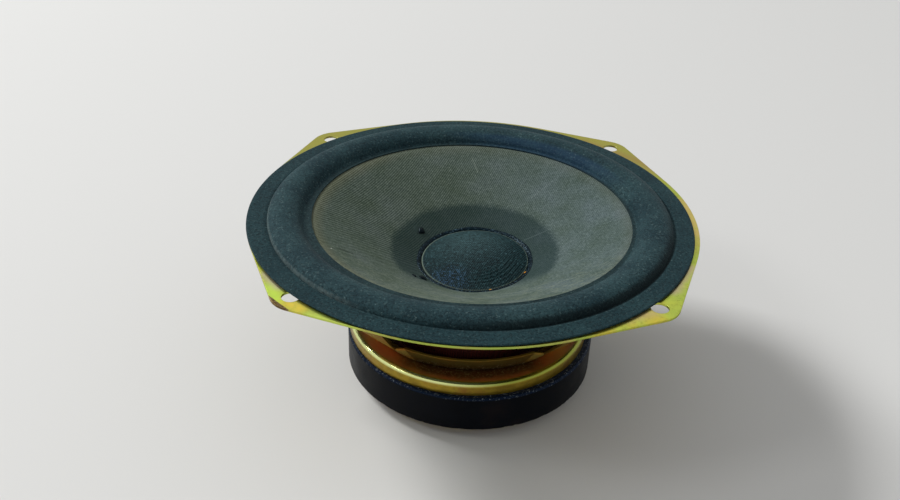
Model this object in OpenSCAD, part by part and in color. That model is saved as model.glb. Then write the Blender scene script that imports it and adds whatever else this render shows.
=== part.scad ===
// Woofer with a pressed steel basket, standing cone up on its back plate.
// Millimetres, +Z out of the cone, origin at the centre of the back plate's underside.

/* [Mounting flange] */
// Diameter of the flange's round edge
flange_d = 203; // [196:0.5:212]
// Distance between neighbouring screw holes
hole_spacing = 145; // [142:0.5:150]
// Diameter of a screw hole
hole_d = 7.4; // [5:0.1:9]
// How far the tip of a corner reaches beyond the round edge
corner_rise = 8.5; // [7:0.25:12]
// Radius that rounds a corner
corner_r = 12.4; // [10:0.1:16]

/* [Basket] */
// Thickness of the basket's steel sheet
sheet_t = 1.0; // [0.8:0.1:1.4]
// Height of the flange's front face above the top plate
basket_depth = 54; // [50:0.5:60]
// Width of the flange outside the collar
flange_w = 11; // [9.5:0.25:13]
// Height of the collar from the flange's face down to the windows
collar_h = 12; // [9:0.5:14]
// Outer radius of the bowl where it stands on the top plate
bowl_foot_r = 48; // [47.5:0.25:50]
// Radius of the hole in the basket's base
base_hole_r = 26; // [24:0.5:30]
// Radius of the bends in the sheet
bend_r = 3; // [2:0.25:4]
// Width of a window just above its sill
window_w = 66; // [64:1:70]
// How much wider a window is at the collar
window_flare = 8; // [4:0.5:14]

/* [Window sill] */
// How far the middle of the sill's foot lies inside the bowl's foot
sill_inset = 1; // [0.75:0.25:1.75]
// How far the sill's top edge leans out beyond its foot
sill_lean = 3.25; // [2:0.25:4]
// How much flatter than a round about the axis the sill is curved
sill_flatness = 10; // [0:1:15]
// Height of the sill above the top plate
sill_h = 7.5; // [6:0.25:9]
// Width of the web at each end of a sill, which joins it to the arm
web_w = 3; // [2:0.5:7]
// Angle at which the webs turn out to the arms
web_angle = 5; // [0:1:20]

/* [Motor] */
// Diameter of the top plate
top_plate_d = 114.4; // [110:0.2:116]
// Thickness of the top plate
top_plate_t = 6; // [5:0.25:8]
// Radius of the top plate's rounded edge
top_plate_edge_r = 2; // [1:0.25:3]
// Outer diameter of the ring magnet
magnet_d = 118; // [117:0.5:123]
// Inner diameter of the ring magnet
magnet_bore_d = 60; // [56:0.5:66]
// How far off centre the ring magnet is glued, to the right and to the back
magnet_shift = [1.2, -0.8];
// Thickness of the ring magnet
magnet_t = 18; // [15:0.5:22]
// Chamfer of the magnet's edges
magnet_chamfer = 0.8; // [0.4:0.1:1.5]
// Diameter of the back plate
back_plate_d = 104; // [98:1:112]
// Thickness of the back plate
back_plate_t = 6; // [5:0.5:8]
// Diameter of the pole piece's spigot in the back plate
spigot_d = 25; // [20:0.5:28]
// Radial clearance of the coil to the pole piece and to the top plate
gap_clearance = 0.6; // [0.4:0.05:0.8]

/* [Voice coil] */
// Inner diameter of the coil former
former_d = 38.4; // [37:0.1:40]
// Wall of the coil former
former_t = 0.3; // [0.2:0.05:0.5]
// Height of the former above the cone's neck
former_rise = 2; // [1:0.25:2.5]
// Thickness of the wire layers
winding_t = 0.7; // [0.4:0.05:1]
// Height of the winding
winding_h = 12; // [8:0.5:14]
// Bare former below the winding
former_tail = 1; // [0.5:0.25:2]

/* [Cone and dust cap] */
// Width of the cone's flat rim
cone_rim_w = 5; // [4:0.25:7]
// How far the cone's rim reaches out under the roll
cone_rim_reach = 1.4; // [0.9:0.1:2.4]
// Depth of the rim's face below the flange's face
cone_rim_drop = 1.6; // [1:0.1:2.5]
// Fall of the cone for each millimetre towards the axis
cone_slope = 0.545; // [0.5:0.005:0.58]
// Thickness of the paper, measured upright
cone_t = 0.9; // [0.6:0.1:1.2]
// Height of the cone's collar round the former
neck_h = 4; // [3:0.25:5]
// Wall of the cone's collar
neck_t = 0.8; // [0.5:0.1:1.2]
// Radius of the dust cap
cap_r = 25; // [24:0.1:26.5]
// Rise of the dust cap's dome
cap_rise = 5.5; // [4:0.25:8]
// Thickness of the dust cap
cap_t = 0.5; // [0.4:0.05:0.8]
// Height of the dust cap's upright edge
cap_edge_h = 0.6; // [0.3:0.1:1]
// How far off centre the dust cap is glued
cap_shift = 2.8; // [0:0.1:3]
// Direction in which the dust cap is off centre, in degrees from the right
cap_turn = 43.5; // [0:0.5:359.5]
// Width of the glue band round the dust cap
cap_glue_w = 2.2; // [1.5:0.1:3]
// Thickness of the glue band
cap_glue_t = 0.5; // [0.3:0.05:0.8]

/* [Suspension] */
// Width of the surround's seam on the cone's rim
seam_w = 2.8; // [2.1:0.1:3.1]
// Width of the roll
roll_w = 15.6; // [14:0.1:17]
// How far the roll reaches out over the collar
roll_overhang = 0.7; // [0:0.1:1.5]
// How far the flat lip's edge lies inside the flange's edge
lip_inset = 2.9; // [1.5:0.1:4.5]
// Height of the roll above the flange's face
roll_rise = 4.4; // [3:0.1:6]
// Thickness of the surround's foam
foam_t = 0.6; // [0.5:0.05:0.8]
// Thickness of the front gasket
gasket_t = 0.6; // [0.5:0.05:1.2]
// How far the front gasket's edge lies inside the flange's edge
gasket_inset = 1.7; // [0.5:0.1:2]
// How far off centre the surround is glued, to the right and away from the viewer
surround_shift = [-1.3, -0.7];
// How far off centre the gasket's outer edge is
gasket_shift = [-1.2, -1.7];
// Clearance of the gasket's bore to the roll
gasket_clearance = 0.3; // [0.2:0.05:0.6]
// Clearance of the gasket and the lip to a screw hole
screw_relief = 0.3; // [0.1:0.1:1]
// How far the spider's foot lies inside the bowl's foot
spider_inset = 2.5; // [2.3:0.1:3.5]
// Width of the spider's flat foot
spider_foot_w = 3; // [2:0.25:4]
// Height of the spider's corrugations above the top plate
spider_h = 10; // [9:0.25:12]
// Height of one corrugation above and below the middle
spider_wave = 0.9; // [0.5:0.1:1.2]
// Number of corrugations
spider_waves = 4; // [3:1:5]
// Thickness of the spider's cloth
spider_t = 0.5; // [0.4:0.05:0.8]

/* [Terminals] */
// Width of the terminal board
board_w = 30; // [27:0.5:36]
// Height of the terminal board
board_h = 12; // [10:0.5:14]
// Thickness of the terminal board
board_t = 1.6; // [1:0.1:2.4]
// Distance between the two solder tags
tag_spacing = 21; // [20:0.5:24]
// Width of a solder tag
tag_w = 5; // [4:0.25:6]
// Length of a solder tag
tag_l = 15; // [13:0.5:18]
// Thickness of a solder tag
tag_t = 0.6; // [0.4:0.1:1]
// Diameter of the eye for a wire in a solder tag
tag_eye_d = 2; // [1:0.25:3]
// Distance from the windows' upper edge down to the terminal board
board_drop = 3; // [2:0.5:6]
// Diameter of a tinsel lead
lead_d = 1.6; // [1.2:0.1:2]
// How far a tinsel lead sags below its eyelet
lead_sag = 11.5; // [8:0.5:12]

/* [Hidden] */
$fn = 96;
eps = 0.01;

// Heights of the faces, from the back plate up
magnet_z = back_plate_t;
plate_z = magnet_z + magnet_t;
base_z = plate_z + top_plate_t;
flange_z = base_z + basket_depth;
rim_z = flange_z - cone_rim_drop;
window_top_z = flange_z - collar_h;
sill_z = base_z + sill_h;

// Radii that follow from the voice coil
former_r = former_d / 2 + former_t;
winding_r = former_r + winding_t;
pole_r = former_d / 2 - gap_clearance;
plate_bore_r = winding_r + gap_clearance;

// Corner circles of the flange, on its diagonals
flange_r = flange_d / 2;
corner_pos = flange_r + corner_rise - corner_r;
tangent_a = acos((flange_r - corner_r) / corner_pos);

// Radii from the flange in to the cone, each from the one before
collar_r = flange_r - flange_w;
gasket_r = flange_r - gasket_inset;
lip_r = flange_r - lip_inset;
roll_out_r = collar_r + roll_overhang;
roll_in_r = roll_out_r - roll_w;
surround_r = roll_in_r - seam_w;
cone_rim_r = roll_in_r + cone_rim_reach;
cone_r = cone_rim_r - cone_rim_w;

// Radii of what stands in the bowl's foot
spider_r = bowl_foot_r - spider_inset;
spider_side_r = spider_r - spider_foot_w;
sill_foot_r = bowl_foot_r - sill_inset;
sill_top_r = sill_foot_r + sill_lean;

// Widths of a window, and of the round part of its sill
window_top_w = window_w + window_flare;
sill_w = window_w - 2 * web_w;

// Height of the cone's upper face at radius r
function cone_z(r) = rim_z - (cone_r - r) * cone_slope;
cone_angle = atan(cone_slope);
neck_z = cone_z(former_r);

// Unit vector of v, and v turned a quarter turn to the left
function unit(v) = v / norm(v);
function left(v) = [-v[1], v[0]];

// Points of an arc about c from angle a0 to angle a1, in n steps
function arc(c, r, a0, a1, n) =
    [for (i = [0 : n]) let (a = a0 + (a1 - a0) * i / n) c + r * [cos(a), sin(a)]];

// A path of [x, y, radius] corners, each rounded by an arc of n steps that touches both sides
function rounded(p, n = 6) = [
    for (i = [0 : len(p) - 1])
        let (here = [p[i][0], p[i][1]])
        if (i == 0 || i == len(p) - 1 || p[i][2] == 0) here
        else let (
            to = unit([p[i + 1][0], p[i + 1][1]] - here),
            from = unit([p[i - 1][0], p[i - 1][1]] - here),
            half = acos(to * from) / 2,
            centre = here + unit(to + from) * p[i][2] / sin(half),
            start = here + from * p[i][2] / tan(half) - centre,
            end = here + to * p[i][2] / tan(half) - centre,
            a0 = atan2(start[1], start[0]),
            turn = atan2(end[1], end[0]) - a0,
            a1 = a0 + (turn > 180 ? turn - 360 : turn < -180 ? turn + 360 : turn))
        each arc(centre, p[i][2], a0, a1, n)];

// The path moved by t to its left, its corners mitred
function moved(p, t) = [
    for (i = [0 : len(p) - 1])
        let (
            a = left(unit(p[max(i, 1)] - p[max(i, 1) - 1])),
            b = left(unit(p[min(i, len(p) - 2) + 1] - p[min(i, len(p) - 2)])))
        p[i] + (a + b) * t / (1 + a * b)];

// Outline of a sheet t thick that lies to the left of path p
function reversed(p) = [for (i = [len(p) - 1 : -1 : 0]) p[i]];
function sheet(p, t) = concat(p, reversed(moved(p, t)));

// Outer face of the pressed bowl, from the hole in its base out to the flange
bowl_top_r = collar_r - collar_h / 4;
bowl_path = rounded([
    [base_hole_r, base_z, 0],
    [bowl_foot_r, base_z, bend_r],
    [bowl_top_r, window_top_z, 2 * bend_r],
    [collar_r, flange_z - sheet_t, bend_r],
    [collar_r + 2 * bend_r, flange_z - sheet_t, 0]]);

// Outer face of the turned up sill, with the part of the base that carries it,
// as radii about an axis that lies behind the basket's own
sill_curve = [sill_foot_r, sill_top_r] + [1, 1] * sill_flatness;
sill_seam_r = sill_curve[0] - 2 * bend_r;
sill_path = rounded([
    [sill_seam_r, base_z, 0],
    [sill_curve[0], base_z, bend_r / 2],
    [sill_curve[1], sill_z, 0]]);
// Outer radius of the bowl at a height above the base, and a depth that lies inside its sheet
function arm_foot_r(h) = bowl_foot_r + (bowl_top_r - bowl_foot_r) * h / (window_top_z - base_z);
arm_skin = sheet_t * 0.7;
module at_sill_axis() {
    translate([0, sill_flatness, 0]) children();
}

// Plan of the ground that a sill stands on, which ends at its two webs
web_dir = [cos(web_angle), -sin(web_angle)];
sill_end = [sill_w / 2, sill_flatness - sqrt(sill_curve[1] * sill_curve[1] - sill_w * sill_w / 4)];
web_inner = sill_end - web_dir * sill_w / 4;
web_outer = sill_end + web_dir * (window_w - sill_w) / 2 / web_dir[0];
sill_plan = [
    [-web_inner[0], web_inner[1]], web_inner, web_outer, [web_outer[0], -flange_r],
    [-web_outer[0], -flange_r], [-web_outer[0], web_outer[1]]];

module quarters() {
    for (a = [0 : 90 : 270]) rotate(a) children();
}

module corners() {
    for (a = [45 : 90 : 315]) rotate(a) children();
}

module screw_positions() {
    for (x = [-1, 1], y = [-1, 1])
        translate([x, y, 0] * hole_spacing / 2) children();
}

// Flat flange: a disc whose corners reach out to four smaller rounds
module flange() {
    translate([0, 0, flange_z - sheet_t]) {
        cylinder(r = flange_r, h = sheet_t);
        corners() {
            translate([corner_pos, 0, 0]) cylinder(r = corner_r, h = sheet_t);
            linear_extrude(sheet_t) polygon([
                [0, 0],
                flange_r * [cos(tangent_a), -sin(tangent_a)],
                [corner_pos, 0] + corner_r * [cos(tangent_a), -sin(tangent_a)],
                [corner_pos, 0] + corner_r * [cos(tangent_a), sin(tangent_a)],
                flange_r * [cos(tangent_a), sin(tangent_a)]]);
        }
    }
}

// What a window takes out of the bowl, on the side of -Y
module window_cut() {
    rotate([90, 0, 0]) linear_extrude(flange_r) polygon([
        [-window_w / 2, sill_z], [window_w / 2, sill_z],
        [window_top_w / 2, window_top_z], [-window_top_w / 2, window_top_z]]);
    translate([0, 0, base_z - 1]) difference() {
        linear_extrude(sill_h + 1 + eps) polygon(sill_plan);
        at_sill_axis() translate([0, 0, -1]) cylinder(r = sill_seam_r + bend_r / 2, h = sill_h + 3);
    }
}

// The turned up sill of one window, with the webs that join it to the arms
module sill() {
    intersection() {
        at_sill_axis() rotate_extrude() polygon(sheet(sill_path, sheet_t));
        translate([0, 0, base_z - 1]) linear_extrude(sill_h + 2) polygon(sill_plan);
    }
    difference() {
        intersection() {
            for (side = [-1, 1]) translate([side * web_inner[0], web_inner[1], base_z])
                rotate(-side * web_angle)
                translate([side > 0 ? 0 : -sill_w / 2, -sheet_t / 2, 0])
                cube([sill_w / 2, sheet_t, sill_h]);
            translate([0, 0, base_z]) cylinder(
                r1 = bowl_foot_r - arm_skin, r2 = arm_foot_r(sill_h) - arm_skin, h = sill_h);
        }
        at_sill_axis() translate([0, 0, base_z - eps]) cylinder(
            r1 = sill_curve[0] - sheet_t / 2, r2 = sill_curve[1] - sheet_t / 2, h = sill_h + 2 * eps);
    }
}

// Rivets that hold the basket to the top plate
rivet_pos = (base_hole_r + spider_side_r) / 2;
rivet_r = 2.5;
rivet_head_r = 4;
rivet_head_h = 1.4;
rivet_inset = 0.5;
rivet_depth = top_plate_t - rivet_inset;

module rivet_holes() {
    corners() translate([rivet_pos, 0, base_z - top_plate_t - 1])
        cylinder(r = rivet_r, h = top_plate_t + sheet_t + 2);
}

// Tab under the collar that carries the terminal board, and where things lie on it
eyelet_rim_r = 1.9;
eyelet_rim_t = 0.4;
tab_clearance = 0.3;
tab_w = tag_spacing - 2 * (eyelet_rim_r + tab_clearance);
tab_x = sheet_t - bowl_top_r;
board_top_z = window_top_z - board_drop;
board_mid_z = board_top_z - board_h / 2;
board_x = tab_x - sheet_t;
board_rivet_r = 1.5;
eyelet_r = 1.2;

module terminal_tab() {
    translate([board_x, -tab_w / 2, board_top_z - board_h])
        cube([sheet_t, tab_w, board_h + board_drop + bend_r]);
}

module basket() {
    color([0.72, 0.70, 0.33]) difference() {
        union() {
            difference() {
                union() {
                    difference() {
                        flange();
                        translate([0, 0, flange_z - 2 * sheet_t])
                            cylinder(r = collar_r + bend_r + sheet_t, h = 3 * sheet_t);
                    }
                    rotate_extrude() polygon(sheet(bowl_path, sheet_t));
                }
                quarters() window_cut();
            }
            quarters() sill();
            terminal_tab();
        }
        screw_positions() translate([0, 0, flange_z - 2 * sheet_t])
            cylinder(d = hole_d, h = 3 * sheet_t);
        rivet_holes();
        translate([board_x - 1, 0, board_mid_z]) rotate([0, 90, 0])
            cylinder(r = board_rivet_r, h = sheet_t + 2);
    }
}

// Room for the screws in what lies on the flange
module screw_room() {
    screw_positions() translate([0, 0, flange_z - 1])
        cylinder(r = hole_d / 2 + screw_relief, h = foam_t + gasket_t + 2);
}

// Foam ring over the surround's lip, whose bore follows the roll
module front_gasket() {
    color([0.20, 0.25, 0.27]) difference() {
        translate([gasket_shift[0], gasket_shift[1], flange_z + foam_t])
            cylinder(r = gasket_r, h = gasket_t);
        translate([surround_shift[0], surround_shift[1], flange_z])
            cylinder(r = roll_out_r + gasket_clearance, h = foam_t + gasket_t + 1);
        screw_room();
    }
}

module top_plate() {
    r = top_plate_d / 2;
    e = top_plate_edge_r;
    color([0.70, 0.62, 0.28]) difference() {
        rotate_extrude() polygon(concat(
            [[plate_bore_r, base_z], [plate_bore_r, plate_z], [r, plate_z]],
            arc([r - e, base_z - e], e, 0, 90, 8)));
        rivet_holes();
    }
}

module ring_magnet() {
    ri = magnet_bore_d / 2;
    ro = magnet_d / 2;
    c = magnet_chamfer;
    color([0.10, 0.11, 0.13]) translate([magnet_shift[0], magnet_shift[1], 0]) rotate_extrude() polygon([
        [ri, magnet_z + c], [ri + c, magnet_z], [ro - c, magnet_z], [ro, magnet_z + c],
        [ro, plate_z - c], [ro - c, plate_z], [ri + c, plate_z], [ri, plate_z - c]]);
}

module back_plate() {
    r = back_plate_d / 2;
    e = top_plate_edge_r;
    color([0.66, 0.58, 0.26]) rotate_extrude() polygon(concat(
        [[spigot_d / 2, magnet_z], [spigot_d / 2, 0]],
        arc([r - e, e], e, -90, 0, 8),
        [[r, magnet_z]]));
}

// Turned pole with a spigot pressed into the back plate
spigot_inset = 0.3;
module pole_piece() {
    color([0.60, 0.60, 0.60]) {
        translate([0, 0, magnet_z]) cylinder(r = pole_r, h = base_z - magnet_z);
        translate([0, 0, spigot_inset]) cylinder(d = spigot_d, h = magnet_z);
    }
}

module plate_rivets() {
    color([0.75, 0.70, 0.40]) corners() translate([rivet_pos, 0, base_z - rivet_depth]) {
        cylinder(r = rivet_r, h = rivet_depth + sheet_t);
        translate([0, 0, rivet_depth + sheet_t])
            cylinder(r1 = rivet_head_r, r2 = rivet_r, h = rivet_head_h);
    }
}

module on_board(y) {
    translate([board_x, y, board_mid_z]) rotate([0, -90, 0]) children();
}

module terminal_board() {
    color([0.38, 0.22, 0.12]) difference() {
        translate([board_x - board_t, -board_w / 2, board_top_z - board_h])
            cube([board_t, board_w, board_h]);
        for (y = [-tag_spacing / 2, tag_spacing / 2])
            on_board(y) translate([0, 0, -1]) cylinder(r = eyelet_r, h = board_t + 2);
        on_board(0) translate([0, 0, -1]) cylinder(r = board_rivet_r, h = board_t + 2);
    }
}

// Solder tag flat on the board, with a round end and an eye for the wire below it
module terminal_tag(y) {
    color([0.78, 0.76, 0.70]) difference() {
        union() {
            on_board(y) translate([0, 0, board_t]) cylinder(d = tag_w, h = tag_t);
            translate([board_x - board_t - tag_t, y - tag_w / 2, board_mid_z - tag_l + tag_w / 2])
                cube([tag_t, tag_w, tag_l - tag_w / 2]);
        }
        on_board(y) translate([0, 0, board_t - 1]) cylinder(r = eyelet_r, h = tag_t + 2);
        translate([board_x - board_t - tag_t - 1, y, board_mid_z - tag_l + tag_w])
            rotate([0, 90, 0]) cylinder(d = tag_eye_d, h = tag_t + 2);
    }
}

module terminal_tag_positive() { terminal_tag(tag_spacing / 2); }
module terminal_tag_negative() { terminal_tag(-tag_spacing / 2); }

// Hollow eyelets that clamp the tags to the board
eyelet_bore_r = 0.7;
module tag_eyelets() {
    color([0.80, 0.78, 0.72]) for (y = [-tag_spacing / 2, tag_spacing / 2]) on_board(y) difference() {
        union() {
            translate([0, 0, -eyelet_rim_t]) cylinder(r = eyelet_rim_r, h = eyelet_rim_t);
            cylinder(r = eyelet_r, h = board_t + tag_t);
            translate([0, 0, board_t + tag_t]) cylinder(r = eyelet_rim_r, h = eyelet_rim_t);
        }
        translate([0, 0, eyelet_rim_t]) cylinder(r = eyelet_bore_r, h = board_t + tag_t + 1);
    }
}

module terminal_rivet() {
    head_r = 2.6;
    head_h = 0.8;
    color([0.75, 0.73, 0.66]) on_board(0) {
        translate([0, 0, -sheet_t - head_h]) cylinder(r = head_r, h = head_h);
        translate([0, 0, -sheet_t]) cylinder(r = board_rivet_r, h = sheet_t + board_t);
        translate([0, 0, board_t]) cylinder(r1 = head_r, r2 = board_rivet_r, h = head_h);
    }
}

// How far the glue round the cap reaches from the axis at angle a
function cap_reach(a) = cap_r + cap_glue_w + cap_shift * cos(a - cap_turn);

// Where the coil's ends come through the cone: distance from the axis and angle
lead_gaps = [5.1, 3.8];
lead_angles = [138.3, 218.8];
lead_holes = [for (i = [0, 1]) [cap_reach(lead_angles[i]) + lead_gaps[i], lead_angles[i]]];
lead_hole_r = 0.8;
module at_lead_hole(i) {
    rotate(lead_holes[i][1]) translate([lead_holes[i][0], 0, cone_z(lead_holes[i][0])])
        rotate([0, -cone_angle, 0]) children();
}

module cone() {
    color([0.33, 0.36, 0.31]) difference() {
        rotate_extrude() polygon([
            [former_r, neck_z], [cone_r, rim_z], [cone_rim_r, rim_z], [cone_rim_r, rim_z - cone_t],
            [cone_r + cone_t, rim_z - cone_t],
            [former_r + neck_t, cone_z(former_r + neck_t) - cone_t],
            [former_r + neck_t, neck_z - neck_h], [former_r, neck_z - neck_h]]);
        for (i = [0, 1]) at_lead_hole(i)
            translate([0, 0, -neck_h]) cylinder(r = lead_hole_r, h = 2 * neck_h);
    }
}

// Half roll between two flat lips: one on the cone's rim, one on the flange
roll_mid_r = (roll_in_r + roll_out_r) / 2;
roll_half_w = (roll_out_r - roll_in_r) / 2 - foam_t;
roll_steps = 24;
roll_path = [for (i = [0 : roll_steps]) let (a = 180 - 180 * i / roll_steps) [
    roll_mid_r + roll_half_w * cos(a),
    (rim_z + flange_z) / 2 + (flange_z - rim_z) / 2 * cos(a)
        + (roll_rise - foam_t + cone_rim_drop / 2) * sin(a)]];
module surround() {
    color([0.24, 0.29, 0.31]) difference() {
        translate([surround_shift[0], surround_shift[1], 0]) rotate_extrude() polygon(sheet(
            concat([[surround_r, rim_z]], roll_path, [[lip_r, flange_z]]), foam_t));
        screw_room();
    }
}

// The cap leans to lie on the cone all round, because it is glued off centre
cap_lean = asin(cap_shift * cone_slope / cap_r);
cap_seat = 0.1;
module at_cap() {
    rotate(cap_turn) translate([cap_shift, 0, cone_z(cap_r) + cap_seat])
        rotate([0, -cap_lean, 0]) children();
}
function dome_r(rise, r) = (r * r + rise * rise) / (2 * rise);

module dust_cap() {
    inner_r = cap_r - cap_t;
    dome_h = cap_rise - cap_edge_h;
    ro = dome_r(dome_h, cap_r);
    ri = dome_r(dome_h, inner_r);
    color([0.15, 0.19, 0.21]) at_cap() rotate_extrude() polygon(concat(
        arc([0, cap_rise - ro], ro, 90, 90 - asin(cap_r / ro), 16),
        [[cap_r, 0], [inner_r, 0]],
        reversed(arc([0, cap_rise - cap_t - ri], ri, 90, 90 - asin(inner_r / ri), 16))));
}

// Black glue on the cone, all round the cap's edge
module cap_glue() {
    deep = neck_h;
    color([0.08, 0.10, 0.12]) difference() {
        at_cap() translate([0, 0, -deep]) difference() {
            cylinder(r = cap_r + cap_glue_w, h = 2 * deep);
            translate([0, 0, -1]) cylinder(r = cap_r, h = 2 * deep + 2);
        }
        rotate_extrude() polygon([
            [former_r, neck_z], [cone_r, rim_z], [cone_r, base_z], [former_r, base_z]]);
        translate([0, 0, cap_glue_t]) rotate_extrude() polygon([
            [former_r, neck_z], [former_r, flange_z], [cone_r, flange_z], [cone_r, rim_z]]);
    }
}

module coil_former() {
    bottom = coil_mid_z - winding_h / 2 - former_tail;
    color([0.55, 0.38, 0.20]) difference() {
        translate([0, 0, bottom]) cylinder(r = former_r, h = neck_z + former_rise - bottom);
        translate([0, 0, bottom - 1]) cylinder(d = former_d, h = flange_z);
    }
}

// The winding stands half above and half below the middle of the top plate
coil_mid_z = plate_z + top_plate_t / 2;
module coil_winding() {
    color([0.60, 0.32, 0.14]) translate([0, 0, coil_mid_z - winding_h / 2]) difference() {
        cylinder(r = winding_r, h = winding_h);
        translate([0, 0, -1]) cylinder(r = former_r, h = winding_h + 2);
    }
}

// Fillet of glue in the angle between the cone and the former
fillet_w = 1.6;
module neck_glue() {
    color([0.12, 0.12, 0.12]) rotate_extrude() polygon([
        [former_r, neck_z], [former_r + fillet_w, cone_z(former_r + fillet_w)],
        [former_r, neck_z + fillet_w]]);
}

// Corrugated disc with an upright collar inside, an upright side and a flat foot
spider_neck_h = 3;
spider_in_r = former_r + spider_neck_h;
spider_z = base_z + spider_h;
wave_steps = 8;
spider_span = spider_side_r - spider_in_r - spider_wave;
spider_path = concat(
    [[former_r, spider_z + spider_neck_h], [former_r + spider_t, spider_z + spider_wave],
     [spider_in_r, spider_z]],
    [for (i = [1 : spider_waves * wave_steps]) [
        spider_in_r + spider_span * i / (spider_waves * wave_steps),
        spider_z + spider_wave * sin(360 * i / wave_steps)]],
    [[spider_side_r, spider_z - spider_wave], [spider_side_r, base_z + sheet_t],
     [spider_r, base_z + sheet_t]]);
module spider() {
    color([0.30, 0.13, 0.09]) rotate_extrude() polygon(sheet(spider_path, spider_t));
}

// Fillet of glue on the spider's collar, round the former
module spider_glue() {
    color([0.12, 0.12, 0.12]) translate([0, 0, spider_z + spider_neck_h + spider_t])
        rotate_extrude() polygon([[former_r, 0], [former_r + fillet_w, 0], [former_r, fillet_w]]);
}

// Eyelets through the cone that join the coil's ends to the tinsel leads
lead_head_r = 1.6;
lead_head_h = 0.7;
lead_shank = 1.2;
lead_seat = 0.06;
module lead_eyelets() {
    color([0.10, 0.11, 0.11]) for (i = [0, 1]) at_lead_hole(i) {
        translate([0, 0, -lead_shank]) cylinder(r = lead_hole_r, h = lead_shank + lead_seat);
        translate([0, 0, lead_seat])
            cylinder(r1 = lead_head_r, r2 = lead_head_r * 0.6, h = lead_head_h);
    }
}

// Points on a smooth curve through p, with n steps between neighbours
function spline_point(a, b, c, d, t) =
    0.5 * (2 * b + (c - a) * t + (2 * a - 5 * b + 4 * c - d) * t * t
    + (3 * b - a - 3 * c + d) * t * t * t);
function spline(p, n) = let (last = len(p) - 1) concat(
    [for (i = [0 : last - 1], k = [0 : n - 1])
        spline_point(p[max(i - 1, 0)], p[i], p[i + 1], p[min(i + 2, last)], k / n)],
    [p[last]]);

// A round tube of k sides swept along a line of points
module tube(p, r, k = 8) {
    last = len(p) - 1;
    rings = [for (i = [0 : last]) let (
        t = unit(p[min(i + 1, last)] - p[max(i - 1, 0)]),
        u = unit(cross([0, 0, 1], t)),
        v = cross(t, u))
        each [for (j = [0 : k - 1]) p[i] + r * (u * cos(360 * j / k) + v * sin(360 * j / k))]];
    sides = [for (i = [0 : last - 1], j = [0 : k - 1]) let (m = (j + 1) % k)
        each [[i * k + j, i * k + k + j, i * k + k + m], [i * k + j, i * k + k + m, i * k + m]]];
    polyhedron(
        points = rings,
        faces = concat(sides, [[for (j = [0 : k - 1]) j]],
            [[for (j = [k - 1 : -1 : 0]) last * k + j]]));
}

// Tinsel lead from a tag's eyelet in to the cone, hanging in one slack bow
// Each step of the bow is a share of the way in, and a share of the sag
lead_steps = 4;
bow = [[0.13, 0.04], [0.24, 0.22], [0.38, 0.56], [0.54, 0.87], [0.69, 1], [0.815, 0.96]];
module tinsel_lead(i) {
    start = [board_x + eyelet_rim_t, (0.5 - i) * tag_spacing, board_mid_z];
    r = lead_holes[i][0];
    out = [cos(lead_holes[i][1]), sin(lead_holes[i][1]), 0];
    down = out * sin(cone_angle) - [0, 0, cos(cone_angle)];
    end = out * r + [0, 0, cone_z(r)] + down * lead_shank;
    middle = [for (b = bow) [
        start[0] + (end[0] - start[0]) * b[0],
        start[1] + (end[1] - start[1]) * b[0],
        start[2] - lead_sag * b[1]]];
    color([0.62, 0.45, 0.30]) tube(
        spline(concat(
            [start, start + [lead_d, 0, 0], start + [2 * lead_d, 0, 0]], middle,
            [end + down * 2 * lead_d, end + down * lead_d, end]), lead_steps), lead_d / 2);
}

module tinsel_lead_positive() { tinsel_lead(0); }
module tinsel_lead_negative() { tinsel_lead(1); }

basket();
front_gasket();
top_plate();
ring_magnet();
back_plate();
pole_piece();
plate_rivets();
terminal_board();
terminal_tag_positive();
terminal_tag_negative();
tag_eyelets();
terminal_rivet();
cone();
surround();
dust_cap();
cap_glue();
coil_former();
coil_winding();
neck_glue();
spider();
spider_glue();
lead_eyelets();
tinsel_lead_positive();
tinsel_lead_negative();
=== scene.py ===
from math import asin, atan, radians

import bmesh
import bpy
import numpy as np
from mathutils import Matrix, Vector


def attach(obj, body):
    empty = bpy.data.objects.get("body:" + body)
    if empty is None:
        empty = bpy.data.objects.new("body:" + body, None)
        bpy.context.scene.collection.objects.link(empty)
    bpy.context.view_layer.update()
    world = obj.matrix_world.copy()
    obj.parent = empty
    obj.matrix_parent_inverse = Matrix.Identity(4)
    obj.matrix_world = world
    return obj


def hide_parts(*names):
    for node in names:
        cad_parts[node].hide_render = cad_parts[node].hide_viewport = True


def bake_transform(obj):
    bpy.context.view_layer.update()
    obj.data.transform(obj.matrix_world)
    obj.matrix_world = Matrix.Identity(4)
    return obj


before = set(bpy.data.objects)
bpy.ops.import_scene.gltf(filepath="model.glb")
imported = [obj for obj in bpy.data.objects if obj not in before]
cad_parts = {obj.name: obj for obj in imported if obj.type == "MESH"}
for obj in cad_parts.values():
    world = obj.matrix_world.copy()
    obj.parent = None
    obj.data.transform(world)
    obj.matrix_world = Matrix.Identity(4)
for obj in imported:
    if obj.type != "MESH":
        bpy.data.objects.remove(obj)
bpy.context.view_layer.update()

# Camera: a little above the woofer and in front of it, looking down at the cone at 31 degrees,
# with the lens and the slight turn that put the flange where the photograph has it.
camera = bpy.data.objects.new("camera", bpy.data.cameras.new("camera"))
camera.data.lens = 38.86
camera.data.sensor_width = 36
camera.location = (-0.0153, -0.3865, 0.3000)
camera.rotation_euler = (
    Matrix.Rotation(radians(-0.81), 3, "Z")
    @ Matrix.Rotation(radians(58.52), 3, "X")
    @ Matrix.Rotation(radians(2.22), 3, "Z")
).to_euler()
bpy.context.scene.collection.objects.link(camera)
bpy.context.scene.camera = camera
bpy.context.scene.view_settings.view_transform = "Standard"


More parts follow.
